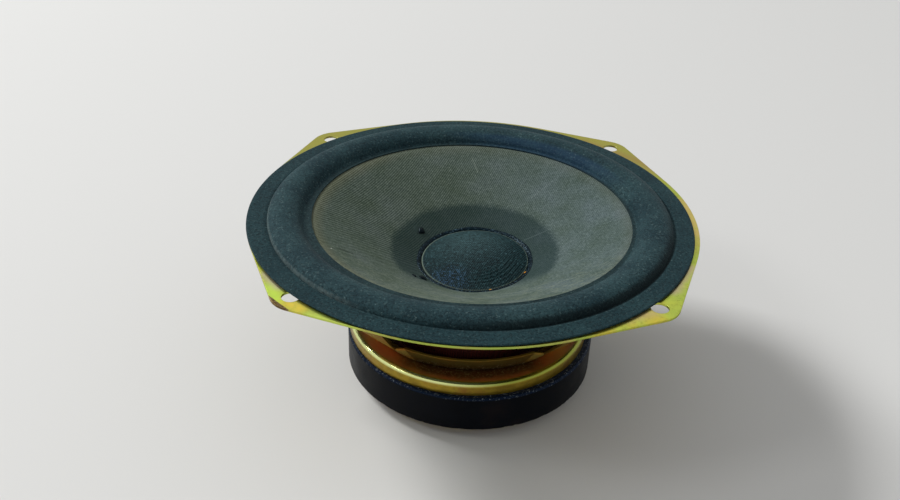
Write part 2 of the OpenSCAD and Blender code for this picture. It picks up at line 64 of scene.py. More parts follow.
# Studio: a pale floor under the woofer, an even pale room, a broad lamp behind on the left, which
# leaves the cone's left in shade, and a small one on the left for the gleam on the plate's edge.
def screen(r, g, b):
    """A colour as a screen shows it, 0 to 255, in the shader's own light: each share of 255 to
    the power of 2.2."""
    return (*((np.array([r, g, b]) / 255) ** 2.2), 1.0)


def add(tree, kind, inputs=None, **settings):
    """A new node. inputs gives its sockets, by name or number, a value or another node's output."""
    new = tree.nodes.new("ShaderNode" + kind)
    for key, value in settings.items():
        setattr(new, key, value)
    for key, value in (inputs or {}).items():
        if isinstance(value, bpy.types.NodeSocket):
            tree.links.new(value, new.inputs[key])
        else:
            new.inputs[key].default_value = value
    return new


room = bpy.data.worlds.new("room")
room.use_nodes = True
bpy.context.scene.world = room
rays = add(room.node_tree, "LightPath").outputs
seen = add(room.node_tree, "Math", {0: rays["Is Camera Ray"], 1: rays["Is Glossy Ray"]},
           operation="MAXIMUM")
seen = add(room.node_tree, "Math", {0: seen.outputs[0], 1: rays["Is Transmission Ray"]},
           operation="MAXIMUM")
light = add(room.node_tree, "Background", {"Color": (1, 1, 1, 1), "Strength": 0.42})
shown = add(room.node_tree, "Background", {"Color": screen(240, 243, 243), "Strength": 1.0})
both = add(room.node_tree, "MixShader", {0: seen.outputs[0], 1: light.outputs[0], 2: shown.outputs[0]})
room.node_tree.links.new(both.outputs[0], room.node_tree.nodes["World Output"].inputs[0])

for name, size, power, place in (
        ("window_lamp", 1.4, 190, (-3.32, 1.92, 3.21)),
        ("side_lamp", 0.3, 2.4, (-1.00, -0.37, 1.04))):
    lamp = bpy.data.objects.new(name, bpy.data.lights.new(name, "AREA"))
    lamp.data.size = size
    lamp.data.energy = power
    lamp.location = place
    lamp.rotation_euler = (-Vector(place)).to_track_quat("-Z", "Y").to_euler()
    bpy.context.scene.collection.objects.link(lamp)


def finish(name, **values):
    """A new material of one shader. values are the shader's sockets, with _ for each space of
    their names."""
    new = bpy.data.materials.new(name)
    new.use_nodes = True
    shader = new.node_tree.nodes["Principled BSDF"]
    for key, value in values.items():
        shader.inputs[key.replace("_", " ")].default_value = value
    return new, new.node_tree, shader


floor_paint, _, _ = finish("floor_paint", Base_Color=screen(218, 218, 216), Roughness=0.9)
floor_half = 4
corners = [(x * floor_half, y * floor_half, 0) for x, y in ((-1, -1), (1, -1), (1, 1), (-1, 1))]
floor_mesh = bpy.data.meshes.new("floor")
floor_mesh.from_pydata(corners, [], [(0, 1, 2, 3)])
floor_mesh.materials.append(floor_paint)
floor = bpy.data.objects.new("floor", floor_mesh)
bpy.context.scene.collection.objects.link(floor)


# Back plate: a steel disc, stamped and yellow passivated, which closes the magnet from below.
# Passivated zinc is a thin film that shifts between yellow, green and pink.
mm = 0.001


def object_place(tree):
    """The place on the object, in metres, where a pattern is read."""
    return add(tree, "TexCoord").outputs["Object"]


def noise(tree, at, size, detail=4, rough=0.5):
    """Fractal noise from 0 to 1, its largest lumps size across."""
    inputs = {"Vector": at, "Scale": 1 / size, "Detail": detail, "Roughness": rough}
    return add(tree, "TexNoise", inputs).outputs["Fac"]


def ramp(tree, value, stops):
    """Colours along a value: stops are pairs of a place from 0 to 1 and a colour."""
    new = add(tree, "ValToRGB", {0: value})
    line = new.color_ramp.elements
    while len(line) < len(stops):
        line.new(0.5)
    for stop, (place, colour) in zip(line, stops):
        stop.position = place
        stop.color = colour
    return new.outputs[0]


def blended(tree, share, first, second, kind="MIX"):
    """The first colour, and as share goes from 0 to 1 the second."""
    new = add(tree, "Mix", {0: share, 6: first, 7: second}, data_type="RGBA", blend_type=kind)
    return new.outputs[2]


def mapped(tree, value, low, high, to_low=0.0, to_high=1.0):
    """value from low to high as a number from to_low to to_high, held at the ends."""
    inputs = {"Value": value, 1: low, 2: high, 3: to_low, 4: to_high}
    return add(tree, "MapRange", inputs, interpolation_type="SMOOTHSTEP").outputs[0]


def rough_face(tree, shader, height, depth, under=None):
    """Lumps in the shading: height from 0 to 1 stands for depth metres, on top of the normal under."""
    inputs = {"Height": height, "Distance": depth, "Strength": 1.0}
    if under is not None:
        inputs["Normal"] = under
    new = add(tree, "Bump", inputs)
    tree.links.new(new.outputs[0], shader.inputs["Normal"])


def passivated(name, tones, lumps, gloss, mirror, pits=0.0012 * mm):
    """Yellow passivated steel: noise with lumps of that size runs through the tones, and finer noise
    dulls it in places. gloss is its least roughness, mirror, from 0 to 1, says how much of it shines
    as bare metal, and pits is how deep its fine pits are."""
    new, tree, shader = finish(name, Metallic=mirror, Specular_IOR_Level=0.5)
    at = object_place(tree)
    film = ramp(tree, noise(tree, at, lumps, 3, 0.6), tones)
    grime = noise(tree, at, 1.6 * mm, 6, 0.65)
    film = blended(tree, mapped(tree, grime, 0.45, 0.75, 0, 0.35), film, screen(92, 78, 44))
    tree.links.new(film, shader.inputs["Base Color"])
    tree.links.new(mapped(tree, grime, 0.3, 0.7, gloss, gloss + 0.18), shader.inputs["Roughness"])
    edge = add(tree, "Bevel", {"Radius": 0.3 * mm}, samples=6)
    rough_face(tree, shader, noise(tree, at, 0.5 * mm, 3), pits, edge.outputs[0])
    return new, tree, shader, at, film


def coat(node, paint):
    """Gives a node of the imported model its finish."""
    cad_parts[node].material_slots[0].material = paint


olive = [(0.3, screen(150, 128, 56)), (0.48, screen(176, 150, 66)), (0.66, screen(150, 112, 66))]
plate_film, _, _, _, _ = passivated("back_plate_film", olive, lumps=14 * mm, gloss=0.3, mirror=0.9)
coat("back_plate", plate_film)


# Pole piece: mild steel, turned bright, pressed into the back plate by its spigot.
# The tool leaves fine rings, which catch the light.
def sum_of(tree, kind, first, second, third=0.0):
    """One sum of numbers, such as SINE, MAXIMUM or MULTIPLY_ADD, which is first * second + third."""
    return add(tree, "Math", {0: first, 1: second, 2: third}, operation=kind).outputs[0]


def product(tree, first, second):
    """first * second."""
    return sum_of(tree, "MULTIPLY", first, second)


ring_scale, line_scale = 1 / (2.2 * mm), 1 / (1.8 * mm)
turned_steel, tree, shader = finish("turned_steel", Metallic=1.0, Roughness=0.28)
at = object_place(tree)
rings = add(tree, "TexWave", {"Vector": at, "Scale": ring_scale, "Distortion": 0.4, "Detail": 2.0},
            wave_type="RINGS", rings_direction="Z").outputs["Fac"]
lines = add(tree, "TexWave", {"Vector": at, "Scale": line_scale, "Distortion": 0.3, "Detail": 2.0},
            wave_type="BANDS", bands_direction="Z").outputs["Fac"]
rough_face(tree, shader, product(tree, rings, lines), 0.01 * mm)
stain = noise(tree, at, 9 * mm, 5, 0.6)
steel = blended(tree, mapped(tree, stain, 0.5, 0.8, 0, 0.5),
                screen(178, 178, 174), screen(128, 120, 104))
tree.links.new(steel, shader.inputs["Base Color"])
coat("pole_piece", turned_steel)


# Ring magnet: sintered ferrite, ground flat on its two faces and glued between the plates.
# Its edges are brittle, so small chips break out of them all round.
def eased(outline, cut, steps=5):
    """Each corner of a closed outline becomes a curve of two corners' mid lines: it starts cut before
    the corner, ends cut after it, and follows (1-t)^2 start + 2t(1-t) corner + t^2 end."""
    outline = np.array(outline, float)
    cut = np.broadcast_to(cut, len(outline))[:, None]
    back = np.roll(outline, 1, 0) - outline
    ahead = np.roll(outline, -1, 0) - outline
    start = outline + back / np.linalg.norm(back, axis=1)[:, None] * cut
    end = outline + ahead / np.linalg.norm(ahead, axis=1)[:, None] * cut
    t = np.linspace(0, 1, steps)[None, :, None]
    curve = (1 - t) ** 2 * start[:, None] + 2 * t * (1 - t) * outline[:, None] + t ** 2 * end[:, None]
    return curve.reshape(-1, 2)


def stepped(outline, step):
    """The closed outline with points added, so that none are further apart than about step."""
    loop = np.vstack([outline, outline[:1]])
    length = np.concatenate([[0], np.cumsum(np.linalg.norm(np.diff(loop, axis=0), axis=1))])
    marks = np.unique(np.concatenate([length[:-1], np.arange(0, length[-1], step)]).round(7))
    return np.stack([np.interp(marks, length, loop[:, k]) for k in (0, 1)], 1)


def turned(outline, turns, centre=(0, 0)):
    """An outline of (radius, height) carried round an axis: rows along the outline, columns round it.
    centre is the axis' place, one for all rows or one for each."""
    angle = np.linspace(0, 2 * np.pi, turns, endpoint=False)
    radius, height = outline[:, :1], outline[:, 1:]
    across, along = np.broadcast_to(centre, (len(outline), 2)).T[..., None]
    return np.stack([across + radius * np.cos(angle), along + radius * np.sin(angle),
                     height + 0 * angle], -1)


def skin(name, grids, ring, crisp=50):
    """A mesh of quads over grids of points, each closed round its columns, and along its rows too if
    it is a ring. Points that coincide become one, which closes poles, every face is turned outwards,
    and edges that turn by more than crisp degrees stay sharp."""
    points, faces, first = [], [], 0
    for grid in grids:
        rows, columns = grid.shape[:2]
        at = first + np.arange(rows * columns).reshape(rows, columns)
        here, below = (at, np.roll(at, -1, 0)) if ring else (at[:-1], at[1:])
        quads = np.stack([here, np.roll(here, -1, 1), np.roll(below, -1, 1), below], -1)
        points.append(grid.reshape(-1, 3))
        faces.append(quads.reshape(-1, 4))
        first += rows * columns
    mesh = bpy.data.meshes.new(name)
    mesh.from_pydata(np.concatenate(points), [], np.concatenate(faces))
    shell = bmesh.new()
    shell.from_mesh(mesh)
    bmesh.ops.remove_doubles(shell, verts=shell.verts, dist=0.002 * mm)
    bmesh.ops.recalc_face_normals(shell, faces=shell.faces)
    shell.to_mesh(mesh)
    shell.free()
    mesh.shade_smooth()
    mesh.set_sharp_from_angle(angle=radians(crisp))
    new = bpy.data.objects.new(name, mesh)
    bpy.context.scene.collection.objects.link(new)
    return new


def chips(angle, count, widths, depths, seed):
    """Notches round a ring: each is a depth times exp(-(angle from it / width)^2), at random angles."""
    draw = np.random.default_rng(seed)
    place = draw.uniform(0, 2 * np.pi, count)[:, None]
    width = draw.uniform(*widths, count)[:, None]
    depth = draw.uniform(*depths, count)[:, None]
    away = np.abs((angle - place + np.pi) % (2 * np.pi) - np.pi)
    return (depth * np.exp(-(away / width) ** 2)).max(0)


def xyz(tree, at):
    """The three coordinates of a place."""
    return add(tree, "SeparateXYZ", {0: at}).outputs


magnet_r, magnet_bore_r, magnet_low, magnet_high = 59 * mm, 30 * mm, 6 * mm, 24 * mm
magnet_at, magnet_turns = (1.2 * mm, -0.8 * mm), 720
chamfer, arris, facet = 0.8 * mm, 0.3 * mm, 1.2 * mm
chip_count, chip_widths, chip_depths, chip_reach = 130, (0.004, 0.014), (0, 0.3 * mm), 0.9 * mm
section = stepped(eased([
    (magnet_bore_r, magnet_low + chamfer), (magnet_bore_r + chamfer, magnet_low),
    (magnet_r - chamfer, magnet_low), (magnet_r, magnet_low + chamfer),
    (magnet_r, magnet_high - chamfer), (magnet_r - chamfer, magnet_high),
    (magnet_bore_r + chamfer, magnet_high), (magnet_bore_r, magnet_high - chamfer)], arris, 6), facet)
grid = turned(section, magnet_turns, magnet_at)
angle = np.linspace(0, 2 * np.pi, magnet_turns, endpoint=False)
for height, inwards, seed in ((magnet_high, -1, 4), (magnet_low, 1, 5)):
    away = (section[:, 0] - magnet_r) ** 2 + (section[:, 1] - height) ** 2
    near = np.exp(-away / chip_reach ** 2)[:, None]
    bite = near * chips(angle, chip_count, chip_widths, chip_depths, seed)
    grid[..., 0] -= bite * np.cos(angle)
    grid[..., 1] -= bite * np.sin(angle)
    grid[..., 2] += bite * inwards
magnet = skin("magnet_body", [grid], ring=True, crisp=70)

ferrite, tree, shader = finish("ferrite", Specular_IOR_Level=0.07)
at = object_place(tree)
cloud = noise(tree, at, 22 * mm, 5, 0.6)
grain = noise(tree, at, 0.35 * mm, 3, 0.6)
grey = ramp(tree, cloud, [(0.35, screen(4, 9, 15)), (0.6, screen(10, 14, 20)),
                          (0.75, screen(26, 22, 24))])
_, _, high = xyz(tree, at)
# The top edge is painted bluish, a painted reflection, and pale chips show in it
rim = mapped(tree, high, magnet_high - 1.3 * mm, magnet_high - 0.6 * mm)
specks = mapped(tree, noise(tree, at, 0.9 * mm, 6, 0.8), 0.57, 0.64)
grey = blended(tree, product(tree, rim, 0.85), grey, screen(15, 32, 54))
grey = blended(tree, product(tree, rim, specks), grey, screen(150, 160, 166))
tree.links.new(grey, shader.inputs["Base Color"])
tree.links.new(mapped(tree, cloud, 0.3, 0.7, 0.3, 0.5), shader.inputs["Roughness"])
rough_face(tree, shader, sum_of(tree, "MULTIPLY_ADD", cloud, 3.0, grain), 0.02 * mm)
magnet.data.materials.append(ferrite)
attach(magnet, "frame")
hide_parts("ring_magnet")


# Top plate: thick stamped steel with a rounded edge, passivated as the basket is.
# Its flat face is coppery, partly a painted warm reflection, its rounded edge green with a painted
# highlight, and the flat is darker in front of the sill.
def from_axis(tree, at, centre=(0, 0)):
    """Distance from an upright axis through centre."""
    off = add(tree, "VectorMath", {0: at, 1: (-centre[0], -centre[1], 0)}, operation="ADD").outputs[0]
    flat = add(tree, "VectorMath", {0: off, 1: (1, 1, 0)}, operation="MULTIPLY").outputs[0]
    return add(tree, "VectorMath", {0: flat}, operation="LENGTH").outputs["Value"]


olive_side = [(0.3, screen(132, 108, 36)), (0.5, screen(168, 142, 48)), (0.7, screen(142, 92, 48))]
flat_r, lip_r, lip_high = 54.4 * mm, 55.2 * mm, 28 * mm
dark_patch_at, dark_patch_r, dark_patch_edge = (2 * mm, -49 * mm), 22 * mm, 52.5 * mm
top_film, tree, shader, at, film = passivated("top_plate_film", olive_side, lumps=16 * mm, gloss=0.2,
                                              mirror=0.8, pits=0.0003 * mm)
out = from_axis(tree, at)
right, _, high = xyz(tree, at)
# The flat face: the film's own pink, with a painted warm reflection that makes it coppery
copper = blended(tree, mapped(tree, noise(tree, at, 12 * mm, 3), 0.35, 0.65),
                 screen(200, 124, 84), screen(186, 136, 80))
film = blended(tree, mapped(tree, out, flat_r, flat_r + 1 * mm), copper, film)
# Darker on the flat in front of the sill, with a ragged outer edge and pale crumbs in it
ragged = sum_of(tree, "MULTIPLY_ADD", noise(tree, at, 4 * mm, 5), 3 * mm, out)
dark_flat = product(tree, mapped(tree, ragged, dark_patch_edge + 4 * mm, dark_patch_edge, 0, 0.8),
               mapped(tree, from_axis(tree, at, dark_patch_at), dark_patch_r + 20 * mm, dark_patch_r))
film = blended(tree, dark_flat, film, screen(52, 44, 22))
crumbs = product(tree, dark_flat, mapped(tree, noise(tree, at, 1.2 * mm, 4, 0.8), 0.54, 0.6))
film = blended(tree, crumbs, film, screen(158, 148, 110))
# The rounded edge, green and smooth, with a painted highlight that grows paler towards the lamp
lip = product(tree, mapped(tree, out, lip_r, lip_r + 1 * mm),
              mapped(tree, high, lip_high, lip_high + 1.2 * mm))
left = mapped(tree, right, 20 * mm, -20 * mm)
film = blended(tree, lip, film, blended(tree, left, screen(128, 134, 54), screen(222, 228, 156)))
tree.links.new(mapped(tree, lip, 0, 1, 0.3, 0.12), shader.inputs["Roughness"])
tree.links.new(film, shader.inputs["Base Color"])
coat("top_plate", top_film)


# Basket: one pressing of 1 mm steel with a flange, a collar, four windows and turned up sills,
# passivated after pressing. The flange has turned green at its edge and pink beside the foam.
def dot(tree, at, direction):
    """How far a place lies along a direction of length 1."""
    return add(tree, "VectorMath", {0: at, 1: direction}, operation="DOT_PRODUCT").outputs[1]


def stroke(tree, at, start, end, wide):
    """1 on a mark from start to end, both (x, y) in mm, fading to 0 at wide mm from it: the distance
    is the root of the squares of how far past its ends and how far beside its line a point lies."""
    start, end = np.array(start) * mm, np.array(end) * mm
    length = np.linalg.norm(end - start)
    to = (end - start) / length
    off = add(tree, "VectorMath", {0: at, 1: (-start[0], -start[1], 0)}, operation="ADD").outputs[0]
    run, aside = dot(tree, off, (to[0], to[1], 0)), dot(tree, off, (-to[1], to[0], 0))
    past = sum_of(tree, "ABSOLUTE", sum_of(tree, "SUBTRACT", run, length / 2), 0.0)
    past = sum_of(tree, "MAXIMUM", sum_of(tree, "SUBTRACT", past, length / 2), 0.0)
    away = sum_of(tree, "MULTIPLY_ADD", past, past, product(tree, aside, aside))
    return mapped(tree, sum_of(tree, "SQRT", away, 0.0), wide * mm, 0.0)


lime = [(0.28, screen(206, 184, 74)), (0.42, screen(186, 196, 84)), (0.55, screen(166, 186, 86)),
        (0.66, screen(184, 180, 96)), (0.8, screen(194, 160, 120))]
base_high, sill_high, flange_high, bowl_r = 31 * mm, 36 * mm, 84 * mm, 50 * mm
to_corner, worn_from = (-0.7071, -0.7071, 0), 109.1 * mm
basket_film, tree, shader, at, film = passivated("basket_film", lime, lumps=26 * mm, gloss=0.24,
                                                 mirror=0.8)
shader.inputs["Specular Tint"].default_value = screen(212, 184, 130)
out = from_axis(tree, at)
_, front, high = xyz(tree, at)
patch = noise(tree, at, 6 * mm, 5, 0.6)
film = blended(tree, mapped(tree, front, 10 * mm, 60 * mm, 0, 0.85), film, screen(156, 154, 92))
# Stains on the flange, each from one (x, y) to another, in mm
for start, end, wide, share, tone in (
        ((-68, -80), (-74, -76), 6, 0.75, screen(240, 206, 84)),
        ((-81, -66), (-78, -74), 6, 0.8, screen(200, 232, 94)),
        ((-84, -57), (-78, -65), 5, 0.85, screen(196, 178, 156)),
        ((80, -60), (90, -42), 5, 0.8, screen(192, 172, 146)),
        ((58, -80), (69, -75), 6, 0.7, screen(198, 170, 128)),
        ((100, 15), (100, -14), 5, 0.75, screen(206, 178, 118)),
        ((60, 79), (92, 52), 6, 0.6, screen(158, 132, 92)),
        ((-63, -85), (-46, -92), 5, 0.7, screen(206, 226, 104))):
    mark = product(tree, stroke(tree, at, start, end, wide),
                   mapped(tree, patch, 0.3, 0.5, 0.4 * share, share))
    film = blended(tree, mark, film, tone)
# The front left corner's tip, worn down to rusty steel
worn = sum_of(tree, "MULTIPLY_ADD", patch, 2 * mm, dot(tree, at, to_corner))
rust = blended(tree, mapped(tree, noise(tree, at, 1.5 * mm, 5, 0.7), 0.4, 0.6),
               screen(84, 66, 44), screen(128, 110, 84))
film = blended(tree, mapped(tree, worn, worn_from, worn_from + 0.4 * mm), film, rust)
# Under the flange the film is brown, partly a painted warm reflection: the wall, the base sheet and the
# darker sills
wall = ramp(tree, noise(tree, at, 16 * mm, 5, 0.6), [
    (0.34, screen(148, 98, 42)), (0.46, screen(150, 112, 48)),
    (0.56, screen(136, 112, 50)), (0.68, screen(148, 102, 54))])
sheet = blended(tree, mapped(tree, out, bowl_r, bowl_r + 4.5 * mm),
                screen(162, 132, 67), screen(194, 118, 80))
wall = blended(tree, mapped(tree, high, base_high, base_high + 2 * mm, 1, 0), wall, sheet)
sill = product(tree, mapped(tree, high, base_high + 1 * mm, base_high + 2.5 * mm),
               mapped(tree, high, sill_high + 1.2 * mm, sill_high))
wall = blended(tree, product(tree, sill, 0.8), wall, screen(110, 98, 52))
film = blended(tree, mapped(tree, high, flange_high - 2 * mm, flange_high - 0.9 * mm), wall, film)
dull = mapped(tree, high, sill_high + 2 * mm, flange_high - 1 * mm, 0.38, 0.24)
tree.links.new(sum_of(tree, "MULTIPLY_ADD", patch, 0.1, dull), shader.inputs["Roughness"])
# Dirt in patches low in the bowl, and a darker band at the foot of the wall behind the front sill, with
# pale crumbs in it
dirt = mapped(tree, noise(tree, at, 3.5 * mm, 5, 0.6), 0.5, 0.72, 0, 0.3)
low = mapped(tree, high, base_high + 2 * mm, base_high - 0.5 * mm)
film = blended(tree, product(tree, dirt, low), film, screen(60, 50, 34))
dark_wall_foot = product(tree, mapped(tree, out, bowl_r + 1.5 * mm, bowl_r, 0, 0.75),
                mapped(tree, high, base_high + 4 * mm, base_high))
dark_wall_foot = product(tree, dark_wall_foot, mapped(tree, from_axis(tree, at, dark_patch_at), dark_patch_r + 12 * mm, dark_patch_r))
film = blended(tree, dark_wall_foot, film, screen(46, 38, 24))
crumbs = product(tree, dark_wall_foot, mapped(tree, noise(tree, at, 1.2 * mm, 4, 0.8), 0.55, 0.6))
film = blended(tree, crumbs, film, screen(196, 186, 150))
tree.links.new(film, shader.inputs["Base Color"])
coat("basket", basket_film)


# Rivets: four mild steel studs, which go through the basket's base into the top plate and are
# closed over on the base, then passivated with it.
coat("plate_rivets", plate_film)


# Terminals: a hard paper board riveted to a tab of the basket, with two tinned brass tags,
# each clamped by a hollow eyelet. The board's cut edges show its layers.
hard_paper, tree, shader = finish("hard_paper", Roughness=0.5, Specular_IOR_Level=0.4)
at = object_place(tree)
layers = add(tree, "TexWave", {"Vector": at, "Scale": 1 / (1.4 * mm), "Distortion": 1.5, "Detail": 3.0},
             wave_type="BANDS", bands_direction="X").outputs["Fac"]
speckle = noise(tree, at, 0.9 * mm, 6, 0.7)
brown = blended(tree, layers, screen(122, 84, 52), screen(146, 104, 66))
brown = blended(tree, mapped(tree, speckle, 0.5, 0.7, 0, 0.7), brown, screen(84, 52, 30))
tree.links.new(brown, shader.inputs["Base Color"])
rough_face(tree, shader, speckle, 0.02 * mm)
coat("terminal_board", hard_paper)

tinned, tree, shader = finish("tinned_brass", Metallic=1.0)
at = object_place(tree)
dull = noise(tree, at, 2.5 * mm, 5, 0.65)
tin = blended(tree, mapped(tree, dull, 0.4, 0.7), screen(206, 204, 196), screen(158, 146, 120))
tree.links.new(tin, shader.inputs["Base Color"])
tree.links.new(mapped(tree, dull, 0.3, 0.7, 0.25, 0.5), shader.inputs["Roughness"])
rough_face(tree, shader, noise(tree, at, 0.6 * mm, 4), 0.02 * mm)
for node in ("terminal_tag_positive", "terminal_tag_negative", "tag_eyelets"):
    coat(node, tinned)
coat("terminal_rivet", turned_steel)


# Voice coil: a brown paper tube, which the cone and the spider are glued to, and a winding
# of lacquered copper wire round its lower end, in the gap of the motor.
former_paper, tree, shader = finish("former_paper", Roughness=0.7)
at = object_place(tree)
fibre = noise(tree, add(tree, "Mapping", {0: at, 3: (1, 1, 6)}).outputs[0], 2 * mm, 6, 0.7)
brown = blended(tree, mapped(tree, fibre, 0.35, 0.65), screen(150, 112, 66), screen(186, 146, 92))
tree.links.new(brown, shader.inputs["Base Color"])
rough_face(tree, shader, fibre, 0.03 * mm)
coat("coil_former", former_paper)

copper_wire, tree, shader = finish("copper_wire", Metallic=1.0, Roughness=0.25)
at = object_place(tree)
wires = add(tree, "TexWave", {"Vector": at, "Scale": 1 / (0.8 * mm)}, wave_type="BANDS",
            bands_direction="Z").outputs["Fac"]
copper = blended(tree, wires, screen(104, 48, 24), screen(206, 122, 72))
tree.links.new(copper, shader.inputs["Base Color"])
rough_face(tree, shader, wires, 0.1 * mm)
coat("coil_winding", copper_wire)


# Spider: a corrugated disc of varnished dark red cloth. Its collar is glued to the former and
# its foot to the basket's base, so its inside goes with the cone and its outside stays.
def moved(path, by):
    """A path moved to its left: each point goes by the sum of its two sides' left hand directions,
    times by / (1 + cos of the angle between them)."""
    side = np.diff(path, axis=0)
    side = side / np.linalg.norm(side, axis=1)[:, None]
    left = np.stack([-side[:, 1], side[:, 0]], 1)
    a, b = np.vstack([left[:1], left]), np.vstack([left, left[-1:]])
    return path + (a + b) * by / (1 + (a * b).sum(1))[:, None]


def eased_path(path, cut, steps=5):
    """An open path with its inner corners eased as those of a closed outline."""
    path = np.array(path, float)
    cut = np.broadcast_to(cut, len(path)).copy()
    cut[[0, -1]] = 0
    curve = eased(path, cut, steps).reshape(len(path), steps, 2)
    return np.vstack([path[:1], curve[1:-1].reshape(-1, 2), path[-1:]])


def sheet_section(path, thick):
    """Closed outline of a sheet of that thickness on the left of a path."""
    return np.vstack([path, moved(path, thick)[::-1]])


def follow(piece, share):
    """Bakes the piece's placement into its mesh and works out how much each point would go with the
    cone: share gives that, for each of its points' (x, y, z), from 0 to 1, eased at both ends by p^2 (3
    - 2 p). The shares are not applied, so the piece does not bend."""
    points = np.zeros(len(piece.data.vertices) * 3)
    piece.data.vertices.foreach_get("co", points)
    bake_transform(piece)
    part = np.clip(share(*points.reshape(-1, 3).T), 0, 1)
    part = part * part * (3 - 2 * part)


def weave(tree, at, pitch, turn):
    """Two sets of threads that cross over and under: the product of two waves at right angles."""
    placed = add(tree, "Mapping", {0: at, 2: (0, 0, turn)}).outputs[0]
    x, y, _ = xyz(tree, placed)
    beat = 2 * np.pi / pitch
    warp = sum_of(tree, "SINE", product(tree, x, beat), 0.0)
    weft = sum_of(tree, "SINE", product(tree, y, beat), 0.0)
    return sum_of(tree, "MULTIPLY_ADD", product(tree, warp, weft), 0.5, 0.5)


# Its section: a collar, four sine waves running outwards, and a side that stands on a flat foot
former_r, spider_high, cloth = 19.5 * mm, 40 * mm, 0.5 * mm
side_r, foot_r, wave_from, wave_high, waves = 42.5 * mm, 45.5 * mm, 22.5 * mm, 0.9 * mm, 4
run = np.linspace(0, 1, waves * 24 + 1)
wavy = np.stack([wave_from + (side_r - wave_from - wave_high) * run,
                 spider_high + wave_high * np.sin(2 * np.pi * waves * run)], 1)
collar = eased_path([(former_r + 0.02 * mm, spider_high + 3 * mm),
                     (former_r + 0.5 * mm, spider_high + 0.9 * mm), (wave_from, spider_high)], 0.8 * mm)
side = eased_path([(side_r, spider_high - wave_high), (side_r, base_high), (foot_r, base_high)],
                  0.5 * mm)
path = np.vstack([collar[:-1], wavy, side[1:]])
spider = skin("spider_cloth", [turned(sheet_section(path, cloth), 288)], ring=True)

spider_weave, tree, shader = finish("spider_weave", Roughness=0.62, Specular_IOR_Level=0.35)
at = object_place(tree)
threads = weave(tree, at, 1.1 * mm, radians(12))
lumps = noise(tree, at, 6 * mm, 5, 0.6)
red = blended(tree, mapped(tree, lumps, 0.35, 0.65), screen(76, 24, 16), screen(96, 36, 24))
red = blended(tree, threads, red, screen(52, 16, 12))
tree.links.new(red, shader.inputs["Base Color"])
rough_face(tree, shader, threads, 0.12 * mm)
spider.data.materials.append(spider_weave)
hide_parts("spider")
held_r = side_r - 0.6 * mm
follow(spider, lambda x, y, z: (held_r - np.hypot(x, y)) / (held_r - wave_from))


# Inner glue: beads of black glue that fix the spider's collar and the cone's neck to the former.
# It sets hard, with a gloss.
glue_drop, tree, shader = finish("hard_glue", Roughness=0.16, Specular_IOR_Level=0.08,
                                 Specular_Tint=(0.5, 0.85, 1, 1))
at = object_place(tree)
glue_cloud = noise(tree, at, 2 * mm, 4, 0.6)
black = blended(tree, glue_cloud, screen(10, 13, 16), screen(24, 30, 34))
tree.links.new(black, shader.inputs["Base Color"])
rough_face(tree, shader, glue_cloud, 0.08 * mm)
coat("spider_glue", glue_drop)
coat("neck_glue", glue_drop)


# Cone: felted paper with a fine embossed weave, moulded in one with its flat rim and with the short
# collar that is glued round the former. Round the dust cap it is darker, where it took up lacquer.
rim_high, cone_r, rim_r, slope, paper = 82.4 * mm, 72 * mm, 77 * mm, 0.545, 0.9 * mm


def cone_height(r):
    """Height of the cone's upper face at distance r from the axis: it falls inwards from the rim by
    slope times the way."""
    return rim_high - (cone_r - r) * slope


# Its section: up the straight upper face, round the rim, and back below it to the neck
bend_r, neck_deep = cone_r - 3 * mm, 4 * mm
neck_high, neck_r = cone_height(former_r), former_r + 0.8 * mm
upper = np.linspace(former_r + 0.5 * mm, bend_r, 60)
lower = upper[::-1] + 0.8 * mm
rim = eased_path([
    (bend_r, cone_height(bend_r)), (cone_r, rim_high), (rim_r, rim_high), (rim_r, rim_high - paper),
    (cone_r + paper, rim_high - paper), (lower[0], cone_height(lower[0]) - paper)],
    [0, 2 * mm, 0.3 * mm, 0.3 * mm, 1.6 * mm, 0])
neck = eased_path([
    (lower[-1], cone_height(lower[-1]) - paper), (neck_r, cone_height(neck_r) - paper),
    (neck_r, neck_high - neck_deep), (former_r, neck_high - neck_deep)], [0, 0.4 * mm, 0.2 * mm, 0])
section = np.vstack([
    [(former_r, neck_high)], np.stack([upper, cone_height(upper)], 1), rim[1:-1],
    np.stack([lower, cone_height(lower) - paper], 1), neck[1:]])
cone = skin("cone_body", [turned(section, 360)], ring=True)


def threads_at(tree, at, pitch, turn):
    """Parallel threads, from 0 between them to 1 on their backs: 0.5 + 0.5 sine of the distance
    across them, once for each pitch. They run at that angle from the right."""
    across = dot(tree, at, (-np.sin(turn), np.cos(turn), 0))
    bow = sum_of(tree, "SINE", product(tree, across, 2 * np.pi / pitch), 0.0)
    return sum_of(tree, "MULTIPLY_ADD", bow, 0.5, 0.5)


thread_pitch = 0.95 * mm
lacquer_at, lacquer_r = (1.7 * mm, 1.6 * mm), 40.2 * mm
cone_felt, tree, shader = finish("cone_felt", Roughness=0.8, Specular_IOR_Level=0.06)
at = object_place(tree)
out = from_axis(tree, at)
warp = threads_at(tree, at, thread_pitch, radians(61))
weft = threads_at(tree, at, thread_pitch, radians(-29))
emboss = sum_of(tree, "MULTIPLY_ADD", weft, 0.45, warp)
grain = noise(tree, at, 1.0 * mm, 4, 0.8)
cloud = noise(tree, at, 17 * mm, 5, 0.6)
felt = ramp(tree, cloud, [(0.3, screen(82, 94, 80)), (0.5, screen(92, 104, 94)),
                          (0.7, screen(101, 112, 106))])
right, front, _ = xyz(tree, at)
